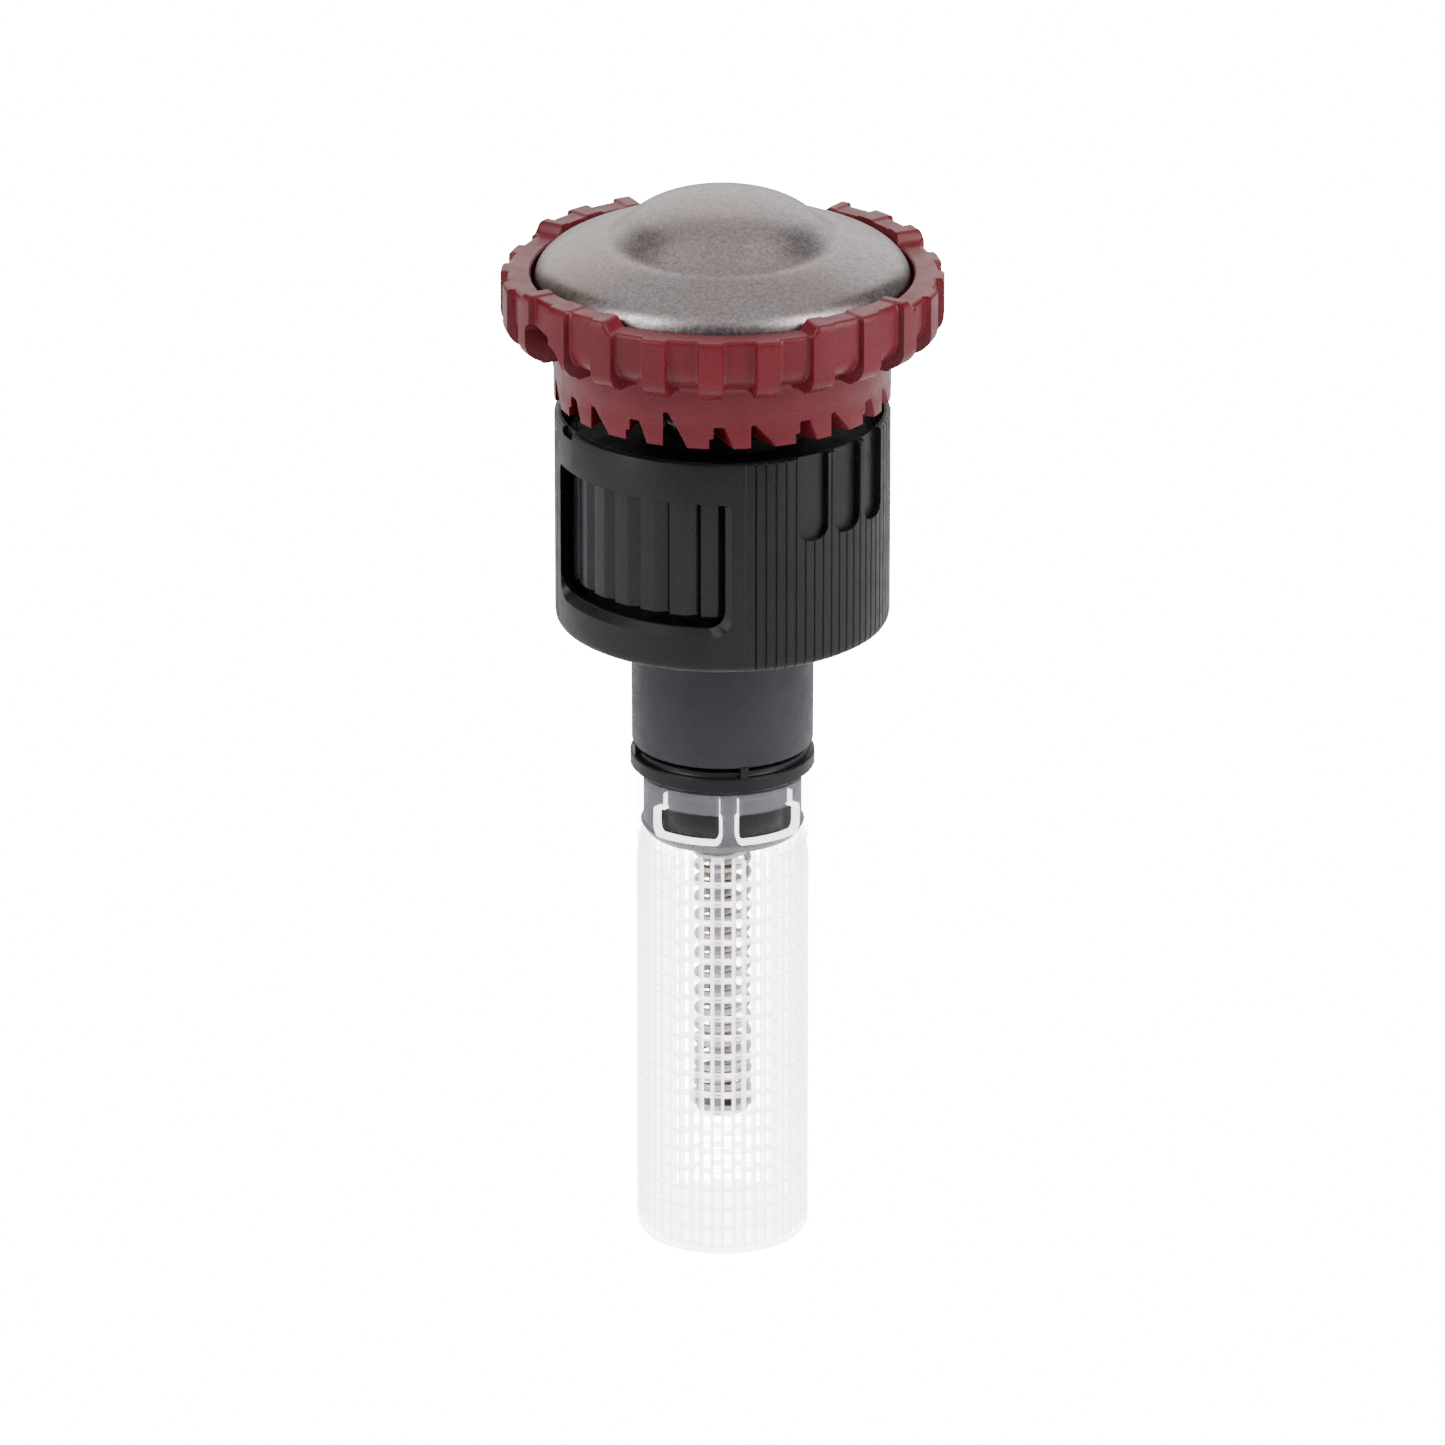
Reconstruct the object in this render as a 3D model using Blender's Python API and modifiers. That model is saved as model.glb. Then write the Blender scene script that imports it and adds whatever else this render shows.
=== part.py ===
"""Rotary irrigation nozzle with a clip-on filter basket, built as separate pieces.

Metres, +Z up. The origin is the centre of the riser socket's mouth, on the nozzle's axis.
Sizes below are in millimetres, and MM turns them into metres. A bearing is an angle in degrees
round the axis, from the front (-Y) towards the right (+X).
"""

import math

import bmesh
import bpy
from mathutils import Matrix, Vector

MM = 0.001
STEPS = 48
GAP = 0.15

# Collar
COLLAR_R = 12.1
COLLAR_BORE = 11.25
COLLAR_TOP = 15.94
LIP_R = 9.35
WINDOW = (-76.0, 2.0, 3.1, 12.9)
POCKETS = ((27.0, 39.0), (41.0, 55.0), (57.0, 71.0))
POCKET_FLOOR_R = 11.6
POCKET_BOTTOM = 9.55

# Neck and riser socket
NECK_R = 6.62
NECK_BORE = 5.6
NECK_BOTTOM = -9.5
SOCKET_R = 7.94
SOCKET_ROOF = 7.2
BASE_R = 9.2
BASE_TOP = 8.2
BASE_BOTTOM = 0.4

# Inlet spigot
SPIGOT_R = 5.75
SPIGOT_BORE = 4.6
SPIGOT_BOTTOM = -16.4
FLANGE_R = 6.7
FLANGE_TOP = -10.22
FLANGE_BOTTOM = -11.34
WEB_TOP = -12.0
WEB_BOTTOM = -14.0
POST_R = 1.95
POST_TOP = 1.0

# Radius ring and throttle
RING_R = 11.1
RING_BORE = 9.5
RING_BOTTOM = 1.9
RING_TOP = 13.2
RING_TEETH = 30
HUB_BORE = 3.6
HUB_R = 4.7
HUB_BOTTOM = -5.7
SPIDER_BOTTOM = 8.5
SPIDER_TOP = 9.5
NUT_TOP = 0.0
DISK_TOP = -6.0
DISK_BOTTOM = -8.0
DISK_R = 4.0
KEYS = 4

# Cover and arc sleeve
COVER_BOTTOM = 13.45
COVER_TOP = 14.5
COVER_COLLAR_TOP = 15.5
SLEEVE_R = 4.4
SLEEVE_BOTTOM = 10.5
SLEEVE_TOP = 16.1
CLUTCH_TEETH = 12

# Shaft, spring and their washers
SHAFT_R = 1.0
SHAFT_BOTTOM = -39.0
SHAFT_TOP = 26.6
BEARING_R = 1.15
SPRING_R = 2.03
WIRE_R = 0.22
SPRING_TOP = -14.6
SPRING_BOTTOM = -37.4
SPRING_TURNS = 13

# Deflector and cap
SKIRT_R = 12.2
SKIRT_BORE = 10.9
SKIRT_TIP = 17.15
GRIP_R = 15.9
GRIP_BOTTOM = 21.67
GRIP_TOP = 26.33
BLOCK_TOP = 27.1
CAP_BORE = 13.75
CHAMBER_R = 8.8
CHAMBER_FLOOR = 21.0
CHAMBER_TOP = 25.0
HUB_FACE = 17.0
BUSH_BORE = 1.75
GRIPS = 24
BLOCK_BEARINGS = (-48.0, 41.0, 131.0, -139.0)
BLOCK_HALF_WIDTH = 17.0
CAP_R = 13.5
CAP_WALL = 0.5
CAP_RIM = 24.6
CAP_TOP = 32.0

# Filter basket
BASKET_TOP = -11.5
BELL_R = 6.78
BELL_BORE = 6.15
BODY_R = 6.15
BODY_BORE = 5.55
BASKET_BOTTOM = -48.0
SLOTS = 24
TIERS = 2
SLOT_WIDTH = 0.65


def clear_scene():
    for obj in list(bpy.data.objects):
        bpy.data.objects.remove(obj, do_unlink=True)


def new_collection(name):
    collection = bpy.data.collections.new(name)
    bpy.context.scene.collection.children.link(collection)
    return collection


clear_scene()
NOZZLE = new_collection("rotary_nozzle")
CUTTERS = new_collection("cutters")


def material(name, colour, roughness, metallic=0.0):
    made = bpy.data.materials.new(name)
    made.use_nodes = True
    shader = made.node_tree.nodes["Principled BSDF"]
    shader.inputs["Base Color"].default_value = (*colour, 1.0)
    shader.inputs["Roughness"].default_value = roughness
    shader.inputs["Metallic"].default_value = metallic
    return made


BLACK = material("black_plastic", (0.018, 0.018, 0.021), 0.42)
GREY = material("dark_grey_plastic", (0.035, 0.04, 0.045), 0.45)
RED = material("dark_red_plastic", (0.22, 0.022, 0.032), 0.4)
CLEAR = material("natural_filter_plastic", (0.85, 0.85, 0.88), 0.35)
STEEL = material("stainless_steel", (0.45, 0.42, 0.4), 0.38, 1.0)
WHITE = material("white_acetal", (0.75, 0.74, 0.7), 0.4)
RUBBER = material("seal_rubber", (0.012, 0.012, 0.012), 0.8)


def add_object(name, mesh, finish=None):
    made = bpy.data.objects.new(name, mesh)
    if finish:
        mesh.materials.append(finish)
        NOZZLE.objects.link(made)
    else:
        CUTTERS.objects.link(made)
        made.hide_render = True
        made.display_type = "WIRE"
    return made


def turned(name, profile, finish, closed=True, steps=STEPS):
    """A piece turned round the axis. The profile starts at the top and runs down its outer side."""
    mesh = bpy.data.meshes.new(name)
    points = [(r * MM, 0.0, z * MM) for r, z in profile]
    edges = [(i, i + 1) for i in range(len(points) - 1)]
    if closed:
        edges.append((len(points) - 1, 0))
    mesh.from_pydata(points, edges, [])
    made = add_object(name, mesh, finish)
    screw = made.modifiers.new("Turn", "SCREW")
    screw.steps = steps
    screw.render_steps = steps
    screw.use_merge_vertices = True
    screw.merge_threshold = 0.00001
    screw.use_smooth_shade = True
    return made


def ring_profile(inner, outer, bottom, top):
    return [(outer, top), (outer, bottom), (inner, bottom), (inner, top)]


def at(radius, bearing):
    angle = math.radians(bearing)
    return radius * math.sin(angle), -radius * math.cos(angle)


def add_prism(bm, outline, lower, upper, move=None):
    """Adds a flat outline, in millimetres, raised from one height to another."""
    corners = [bm.verts.new((x * MM, y * MM, lower * MM)) for x, y in outline]
    face = bm.faces.new(corners)
    raised = bmesh.ops.extrude_face_region(bm, geom=[face])
    top = [item for item in raised["geom"] if isinstance(item, bmesh.types.BMVert)]
    bmesh.ops.translate(bm, verts=top, vec=(0.0, 0.0, (upper - lower) * MM))
    if move:
        bmesh.ops.transform(bm, matrix=move, verts=corners + top)


def finish_mesh(name, bm):
    bmesh.ops.recalc_face_normals(bm, faces=bm.faces)
    mesh = bpy.data.meshes.new(name)
    bm.to_mesh(mesh)
    bm.free()
    return mesh


def sector_outline(inner, outer, start, end, step=7.5):
    count = max(1, math.ceil((end - start) / step))
    bearings = [start + (end - start) * i / count for i in range(count + 1)]
    outside = [at(outer, b) for b in bearings]
    inside = [at(inner, b) for b in reversed(bearings)]
    return outside + inside


def sectors(name, pieces, finish=None):
    """Blocks bent round the axis, each (inner, outer, start, end, bottom, top)."""
    bm = bmesh.new()
    for inner, outer, start, end, bottom, top in pieces:
        add_prism(bm, sector_outline(inner, outer, start, end), bottom, top)
    return add_object(name, finish_mesh(name, bm), finish)


def radial_prisms(name, outline, inner, outer, bearings):
    """Outlines of (sideways, height) points, each pushed out from the axis along a bearing."""
    bm = bmesh.new()
    stand_up = Matrix.Rotation(math.radians(90.0), 4, "X")
    for bearing in bearings:
        turn = Matrix.Rotation(math.radians(bearing), 4, "Z")
        add_prism(bm, outline, inner, outer, turn @ stand_up)
    return add_object(name, finish_mesh(name, bm))


def combine(target, other, operation="DIFFERENCE"):
    step = target.modifiers.new(other.name, "BOOLEAN")
    step.operation = operation
    step.object = other


def even(count, start=0.0):
    return [start + 360.0 * i / count for i in range(count)]


def torus(name, radius, wire, height, finish):
    bpy.ops.mesh.primitive_torus_add(
        major_radius=radius * MM, minor_radius=wire * MM, major_segments=24, minor_segments=6,
        location=(0.0, 0.0, height * MM))
    made = bpy.context.object
    made.name = name
    made.data.materials.append(finish)
    for collection in list(made.users_collection):
        collection.objects.unlink(made)
    NOZZLE.objects.link(made)
    made.data.shade_smooth()
    return made


def collar_shell():
    profile = [
        (COLLAR_R, COLLAR_TOP), (COLLAR_R, 0.5), (COLLAR_R - 0.5, 0.0), (LIP_R, 0.0),
        (LIP_R, 1.0), (COLLAR_BORE, 1.0), (COLLAR_BORE, COLLAR_TOP)]
    shell = turned("collar_shell", profile, BLACK)
    start, end, bottom, top = WINDOW
    through = (COLLAR_BORE - 1.0, COLLAR_R + 1.0)
    windows = [(*through, start + turn, end + turn, bottom, top) for turn in (0.0, 180.0)]
    combine(shell, sectors("window_cutter", windows))
    pockets = [
        (POCKET_FLOOR_R, COLLAR_R + 1.0, first + turn, last + turn, POCKET_BOTTOM, COLLAR_TOP + 1.0)
        for first, last in POCKETS
        for turn in (0.0, 180.0)]
    combine(shell, sectors("pocket_cutter", pockets))


def nozzle_base():
    profile = [
        (BASE_R, BASE_TOP), (BASE_R, 1.75), (10.2, 1.75), (10.2, 1.15), (BASE_R, 1.15),
        (BASE_R, BASE_BOTTOM), (SOCKET_R, BASE_BOTTOM), (SOCKET_R, SOCKET_ROOF),
        (NECK_R, SOCKET_ROOF), (NECK_R, NECK_BOTTOM), (NECK_BORE, NECK_BOTTOM), (NECK_BORE, BASE_TOP)]
    turned("nozzle_base", profile, GREY)


def inlet_spigot():
    plug_r = NECK_BORE - 0.1
    groove_r = plug_r - 0.55
    profile = [
        (plug_r, -7.5), (plug_r, -8.4), (groove_r, -8.4), (groove_r, -9.0), (plug_r, -9.0),
        (plug_r, FLANGE_TOP), (FLANGE_R, FLANGE_TOP), (FLANGE_R, FLANGE_BOTTOM),
        (SPIGOT_R, FLANGE_BOTTOM), (SPIGOT_R, SPIGOT_BOTTOM), (SPIGOT_BORE, SPIGOT_BOTTOM),
        (SPIGOT_BORE, WEB_BOTTOM), (BEARING_R, WEB_BOTTOM), (BEARING_R, POST_TOP),
        (POST_R, POST_TOP), (POST_R, WEB_TOP), (SPIGOT_BORE, WEB_TOP), (SPIGOT_BORE, -7.5)]
    spigot = turned("inlet_spigot", profile, BLACK, steps=32)
    tabs = [
        (plug_r - 0.3, NECK_R - 0.12, b, b + 7.0, FLANGE_TOP - 0.3, NECK_BOTTOM - GAP)
        for b in even(4, 10.0)]
    combine(spigot, sectors("spacer_tabs", tabs), "UNION")
    ports = [(2.35, 3.55, b, b + 88.0, WEB_BOTTOM - 1.0, WEB_TOP + 1.0) for b in even(3, 16.3)]
    combine(spigot, sectors("port_cutter", ports))


def nozzle_cover():
    profile = [
        (6.0, COVER_COLLAR_TOP), (6.0, COVER_TOP), (RING_R, COVER_TOP), (RING_R, COVER_BOTTOM),
        (6.0, COVER_BOTTOM), (6.0, 11.0), (4.6, 11.0), (4.6, COVER_COLLAR_TOP)]
    turned("nozzle_cover", profile, BLACK, steps=36)


def radius_ring():
    bm = bmesh.new()
    pitch = 360.0 / RING_TEETH
    outline = []
    for i in range(RING_TEETH):
        start = i * pitch + 3.0
        outline.append(at(RING_R - 0.75, start))
        outline.append(at(RING_R, start + 0.15 * pitch))
        outline.append(at(RING_R - 0.1, start + 0.4 * pitch))
    add_prism(bm, outline, RING_BOTTOM, RING_TOP)
    ring = add_object("radius_ring", finish_mesh("radius_ring", bm), BLACK)
    bore = turned("ring_bore_cutter", [(0.0, 20.0), (RING_BORE, 20.0), (RING_BORE, -1.0), (0.0, -1.0)],
                  None, closed=False)
    combine(ring, bore)


def drive_spider():
    profile = [
        (RING_BORE - GAP, SPIDER_TOP), (RING_BORE - GAP, SPIDER_BOTTOM), (HUB_R, SPIDER_BOTTOM),
        (HUB_R, HUB_BOTTOM), (HUB_BORE, HUB_BOTTOM), (HUB_BORE, SPIDER_TOP)]
    spider = turned("drive_spider", profile, WHITE, steps=32)
    ports = [(5.4, 8.4, b, b + 72.0, SPIDER_BOTTOM - 1.0, SPIDER_TOP + 1.0) for b in even(4, 9.0)]
    combine(spider, sectors("spider_port_cutter", ports))
    grooves = [(HUB_BORE - 1.0, 4.2, b, b + 20.0, HUB_BOTTOM - 1.0, 2.0) for b in even(KEYS, -10.0)]
    combine(spider, sectors("key_groove_cutter", grooves))


def throttle_nut():
    body_r = HUB_BORE - GAP
    bore = POST_R + GAP
    profile = [
        (body_r, NUT_TOP), (body_r, DISK_TOP), (DISK_R, DISK_TOP), (DISK_R, DISK_BOTTOM),
        (bore, DISK_BOTTOM), (bore, NUT_TOP)]
    nut = turned("throttle_nut", profile, WHITE, steps=32)
    keys = [(body_r - 0.4, DISK_R, b, b + 14.0, DISK_TOP - 0.5, NUT_TOP - 0.2) for b in even(KEYS, -7.0)]
    combine(nut, sectors("nut_keys", keys), "UNION")


def valve_sleeve():
    profile = [
        (SLEEVE_R, SLEEVE_TOP), (SLEEVE_R, 12.3), (3.9, 12.3), (3.9, 11.7), (SLEEVE_R, 11.7),
        (SLEEVE_R, SLEEVE_BOTTOM), (3.3, SLEEVE_BOTTOM), (3.3, 13.6), (2.1, 13.6),
        (2.1, SLEEVE_BOTTOM), (BEARING_R, SLEEVE_BOTTOM), (BEARING_R, SLEEVE_TOP)]
    sleeve = turned("valve_sleeve", profile, WHITE, steps=32)
    notch = [(-0.5, SLEEVE_TOP - 0.5), (0.5, SLEEVE_TOP - 0.5), (0.6, SLEEVE_TOP + 1.0),
             (-0.6, SLEEVE_TOP + 1.0)]
    combine(sleeve, radial_prisms("sleeve_tooth_cutter", notch, 2.6, 6.0, even(CLUTCH_TEETH)))
    torus("sleeve_seal", 4.24, 0.24, 12.0, RUBBER)


def shaft_group():
    turned("shaft", [(0.0, SHAFT_TOP), (SHAFT_R - 0.2, SHAFT_TOP), (SHAFT_R, SHAFT_TOP - 0.2),
                     (SHAFT_R, SHAFT_BOTTOM + 0.2), (SHAFT_R - 0.2, SHAFT_BOTTOM), (0.0, SHAFT_BOTTOM)],
           STEEL, closed=False, steps=24)
    seat = SHAFT_R + 0.1
    turned("friction_disk", ring_profile(seat, 7.5, 22.4, 23.2), STEEL, steps=36)
    turned("head_clip", ring_profile(seat, 2.4, 23.35, 23.75), STEEL, steps=24)
    turned("lower_washer", ring_profile(seat, 2.4, -37.95, -37.65), STEEL, steps=24)
    turned("retaining_clip", ring_profile(seat, 1.9, -38.6, -38.1), STEEL, steps=24)


def spring_group():
    turned("spring_seat_washer", ring_profile(BEARING_R, 2.4, -14.4, -14.15), STEEL, steps=24)
    curve = bpy.data.curves.new("return_spring", "CURVE")
    curve.dimensions = "3D"
    curve.bevel_depth = WIRE_R * MM
    curve.bevel_resolution = 0
    curve.use_fill_caps = True
    per_turn = 10
    count = SPRING_TURNS * per_turn
    spline = curve.splines.new("POLY")
    spline.points.add(count)
    length = SPRING_TOP - SPRING_BOTTOM - 2.0 * WIRE_R
    for i, point in enumerate(spline.points):
        share = i / count
        # The end turns are closed up, as on a ground compression spring.
        rise = share - 0.045 * math.sin(2.0 * math.pi * share)
        x, y = at(SPRING_R, 360.0 * i / per_turn)
        z = SPRING_BOTTOM + WIRE_R + length * rise
        point.co = (x * MM, y * MM, z * MM, 1.0)
    spring = bpy.data.objects.new("return_spring", curve)
    curve.materials.append(STEEL)
    NOZZLE.objects.link(spring)
    torus("neck_seal", 5.3, 0.24, -8.7, RUBBER)


def deflector():
    profile = [
        (GRIP_R - 0.4, BLOCK_TOP), (GRIP_R, BLOCK_TOP - 0.4), (GRIP_R, 23.2), (15.3, 22.2),
        (14.7, GRIP_BOTTOM), (SKIRT_R, GRIP_BOTTOM), (SKIRT_R, SKIRT_TIP), (SKIRT_BORE, SKIRT_TIP),
        (SKIRT_BORE, 19.5), (SLEEVE_R, 17.4), (SLEEVE_R, HUB_FACE), (BUSH_BORE, HUB_FACE),
        (BUSH_BORE, CHAMBER_FLOOR), (CHAMBER_R, CHAMBER_FLOOR), (CHAMBER_R, CHAMBER_TOP),
        (CHAMBER_R + 0.9, CHAMBER_TOP), (CHAMBER_R + 0.9, 24.2), (CAP_BORE, 24.2),
        (CAP_BORE, BLOCK_TOP)]
    body = turned("deflector", profile, RED)
    lows = []
    for bearing in BLOCK_BEARINGS:
        start = bearing + BLOCK_HALF_WIDTH
        lows.append((CAP_BORE - 1.0, GRIP_R + 1.0, start, start + 90.0 - 2.0 * BLOCK_HALF_WIDTH,
                     GRIP_TOP, BLOCK_TOP + 1.0))
    combine(body, sectors("ring_low_cutter", lows))
    through = (SKIRT_BORE - 0.8, SKIRT_R + 1.0)
    below = SKIRT_TIP - 1.0
    stepped = [(-0.85, below), (0.95, below), (0.2, SKIRT_TIP + 1.6), (-0.25, SKIRT_TIP + 1.6),
               (-0.25, SKIRT_TIP + 0.95), (-0.85, SKIRT_TIP + 0.95)]
    plain = [(-0.5, below), (1.5, below), (0.1, SKIRT_TIP + 1.7), (-0.5, SKIRT_TIP + 1.7)]
    half = GRIPS // 2
    combine(body, radial_prisms("stepped_flute_cutter", stepped, *through, even(half)))
    combine(body, radial_prisms("plain_flute_cutter", plain, *through, even(half, 12.7)))
    tooth = [(-0.5, HUB_FACE - 1.0), (0.5, HUB_FACE - 1.0), (0.4, HUB_FACE + 0.5), (-0.4, HUB_FACE + 0.5)]
    combine(body, radial_prisms("clutch_cutter", tooth, 2.6, 4.2, even(CLUTCH_TEETH, 15.0)))
    bm = bmesh.new()
    for bearing in even(GRIPS, 4.5):
        x, y = at(GRIP_R + 1.1, bearing)
        move = Matrix.Translation(Vector((x, y, 24.5)) * MM)
        bmesh.ops.create_cone(bm, cap_ends=True, segments=12, radius1=1.55 * MM, radius2=1.55 * MM,
                              depth=9.0 * MM, matrix=move)
    combine(body, add_object("grip_cutter", finish_mesh("grip_cutter", bm)))


def cap_dome():
    outer = [
        (0.0, CAP_TOP), (3.4, 31.8), (5.4, 31.2), (6.8, 30.1), (7.8, 29.0), (8.8, 28.5), (11.0, 28.25),
        (12.6, 27.5), (CAP_R, 26.1), (CAP_R, CAP_RIM)]
    inner = [(max(0.0, r - 0.25) if r < 12.0 else r - CAP_WALL, z - CAP_WALL) for r, z in outer[:-1]]
    inner.append((CAP_R - CAP_WALL, CAP_RIM))
    inner[0] = (0.0, CAP_TOP - CAP_WALL)
    turned("cap_dome", outer + inner[::-1], STEEL, closed=False, steps=36)


def brake_group():
    turned("brake_pad", ring_profile(2.2, 8.5, 21.15, 22.25), WHITE, steps=36)
    turned("chamber_lid", ring_profile(BEARING_R, CHAMBER_R - 0.1, 24.1, 24.9), WHITE)
    turned("deflector_bush", ring_profile(SHAFT_R + 0.1, BUSH_BORE - 0.1, 18.0, 20.85), WHITE, steps=24)
    torus("shaft_seal", 1.38, 0.24, 17.5, RUBBER)


def filter_basket():
    profile = [
        (BELL_R, BASKET_TOP), (BELL_R, -14.4), (6.68, -15.4), (6.4, -16.8), (BODY_R, -18.0),
        (BODY_R, BASKET_BOTTOM + 0.5), (BODY_R - 0.5, BASKET_BOTTOM), (0.0, BASKET_BOTTOM),
        (0.0, BASKET_BOTTOM + 1.0), (BODY_BORE, BASKET_BOTTOM + 1.0), (BODY_BORE, -17.6),
        (BELL_BORE - 0.1, -15.2), (BELL_BORE, -14.2), (BELL_BORE, BASKET_TOP)]
    inside_first = profile[8:] + profile[:8]
    basket = turned("filter_basket", inside_first, CLEAR, closed=False)
    windows = [
        (4.0, 8.0, start + turn, end + turn, -15.05, -13.1)
        for start, end in ((-44.0, -2.0), (10.0, 52.0))
        for turn in (0.0, 180.0)]
    combine(basket, sectors("basket_window_cutter", windows))
    first, last = -18.5, BASKET_BOTTOM + 1.4
    pitch = (first - last) / TIERS
    for tier in range(TIERS):
        top = first - tier * pitch
        bottom = top - pitch + 0.9
        half = SLOT_WIDTH / 2.0
        outline = [(-half, bottom), (half, bottom), (half, top), (-half, top)]
        name = f"slot_cutter_{tier + 1}"
        combine(basket, radial_prisms(name, outline, 4.5, 7.5, even(SLOTS, 4.0)))


def main():
    collar_shell()
    nozzle_base()
    inlet_spigot()
    nozzle_cover()
    radius_ring()
    drive_spider()
    throttle_nut()
    valve_sleeve()
    shaft_group()
    spring_group()
    deflector()
    cap_dome()
    brake_group()
    filter_basket()


main()
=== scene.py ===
# %% [markdown]
# # A rotary irrigation nozzle with its filter basket
# The real object is a small lawn nozzle: a black collar hides a riser thread, a dark red deflector
# turns on a steel shaft above it, a steel cap covers the brake, and a translucent basket below keeps
# grit out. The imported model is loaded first, because it fixes every size, axis and motion.
# Each moulding is then modelled finely round the same axis and given its own plastic or steel.

# %% Load the fixed frame
import math

import bmesh
import bpy
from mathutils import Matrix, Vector


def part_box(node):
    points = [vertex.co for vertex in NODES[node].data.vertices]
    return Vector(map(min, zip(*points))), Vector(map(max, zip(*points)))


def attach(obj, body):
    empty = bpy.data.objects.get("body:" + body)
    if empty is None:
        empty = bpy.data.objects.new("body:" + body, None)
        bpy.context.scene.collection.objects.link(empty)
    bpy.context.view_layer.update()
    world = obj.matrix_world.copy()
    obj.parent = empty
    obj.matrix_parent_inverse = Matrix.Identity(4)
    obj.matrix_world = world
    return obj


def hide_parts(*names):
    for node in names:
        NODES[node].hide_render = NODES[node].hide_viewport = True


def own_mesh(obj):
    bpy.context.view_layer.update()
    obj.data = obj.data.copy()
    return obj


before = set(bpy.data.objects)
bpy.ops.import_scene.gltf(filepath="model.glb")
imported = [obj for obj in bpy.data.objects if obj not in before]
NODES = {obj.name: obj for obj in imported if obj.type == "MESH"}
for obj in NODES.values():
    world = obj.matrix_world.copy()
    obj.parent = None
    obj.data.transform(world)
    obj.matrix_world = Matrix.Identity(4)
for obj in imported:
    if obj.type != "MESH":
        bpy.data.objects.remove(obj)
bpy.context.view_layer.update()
MM = 0.001
print("CAD nodes:", len(NODES))


# %% [markdown]
# Nearly everything here is round, so two small helpers say where things are: a bearing in degrees
# from the front towards the right, with a radius and a height in millimetres. `span` reads a CAD
# node's own radius and heights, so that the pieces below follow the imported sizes.

# %% Places round the axis
def at(radius, bearing, height):
    angle = math.radians(bearing)
    return Vector((radius * math.sin(angle), -radius * math.cos(angle), height)) * MM


def span(node):
    low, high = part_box(node)
    return max(high.x, -low.x) / MM, low.z / MM, high.z / MM


COLLAR_R, _, COLLAR_TOP = span("collar_shell")
NECK_BOTTOM = span("nozzle_base")[1]
GRIP_R, SKIRT_TIP, BLOCK_TOP = span("deflector")
HUB_FACE = SKIRT_TIP
CAP_R, CAP_RIM, CAP_TOP = span("cap_dome")
RING_R, RING_BOTTOM, RING_TOP = span("radius_ring")
_, COVER_LOW, COVER_HIGH = span("nozzle_cover")
FLANGE_R, _, POST_TOP = span("inlet_spigot")
BELL_R, FOOT, BASKET_TOP = span("filter_basket")
COIL_R, SPRING_LOW, SPRING_HIGH = span("return_spring")
print("grip ring radius", round(GRIP_R, 2), "mm, foot at", round(FOOT, 2), "mm")


# %% [markdown]
# A lathed piece is made as on a real lathe drawing: a ring of edges is added at the first point of
# the outline, then extruded and resized from point to point in edit mode. That gives clean rows and
# columns, which later cells can pull about. A closed outline is bridged end to end, and an outline
# that ends on the axis is merged there.

# %% Lathe work in edit mode
def deselect():
    if bpy.context.mode != "OBJECT":
        bpy.ops.object.mode_set(mode="OBJECT")
    bpy.ops.object.select_all(action="DESELECT")


def make_active(piece):
    deselect()
    piece.select_set(True)
    bpy.context.view_layer.objects.active = piece


def lathe(name, outline, columns, closed=True):
    deselect()
    radius, height = outline[0]
    bpy.ops.mesh.primitive_circle_add(vertices=columns, radius=radius * MM, location=(0, 0, 0))
    piece = bpy.context.object
    piece.name = name
    piece.data.name = name
    bpy.ops.object.mode_set(mode="EDIT")
    bpy.ops.mesh.select_all(action="SELECT")
    bpy.ops.transform.translate(value=(0, 0, height * MM))
    for next_radius, next_height in outline[1:]:
        rise = (next_height - height) * MM
        bpy.ops.mesh.extrude_region_move(TRANSFORM_OT_translate={"value": (0, 0, rise)})
        if next_radius == 0:
            bpy.ops.mesh.merge(type="CENTER")
            break
        grow = next_radius / radius
        if abs(grow - 1) > 1e-6:
            bpy.ops.transform.resize(value=(grow, grow, 1), center_override=(0, 0, 0))
        radius, height = next_radius, next_height
    bpy.ops.mesh.select_all(action="DESELECT")
    if closed:
        bpy.ops.mesh.select_mode(type="EDGE")
        bpy.ops.mesh.select_non_manifold()
        bpy.ops.mesh.bridge_edge_loops()
    bpy.ops.mesh.select_all(action="SELECT")
    bpy.ops.mesh.normals_make_consistent(inside=False)
    bpy.ops.object.mode_set(mode="OBJECT")
    return piece


def apply_modifier(piece, kind, **settings):
    make_active(piece)
    step = piece.modifiers.new(kind.title(), kind)
    for key, value in settings.items():
        setattr(step, key, value)
    bpy.ops.object.modifier_apply(modifier=step.name)


def round_edges(piece, width, segments=2, angle=35):
    apply_modifier(piece, "BEVEL", width=width * MM, segments=segments, limit_method="ANGLE",
                   angle_limit=math.radians(angle), use_clamp_overlap=True)


def shade(piece, angle=35):
    make_active(piece)
    bpy.ops.object.shade_smooth_by_angle(angle=math.radians(angle))


def drop(piece):
    bpy.data.objects.remove(piece, do_unlink=True)


def cut(piece, cutters, crossing=False):
    for cutter in cutters:
        apply_modifier(piece, "BOOLEAN", object=cutter, operation="DIFFERENCE", solver="EXACT",
                       use_self=crossing)
        drop(cutter)


def join(name, pieces):
    deselect()
    for piece in pieces:
        piece.select_set(True)
    bpy.context.view_layer.objects.active = pieces[0]
    bpy.ops.object.join()
    pieces[0].name = name
    return pieces[0]


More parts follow.
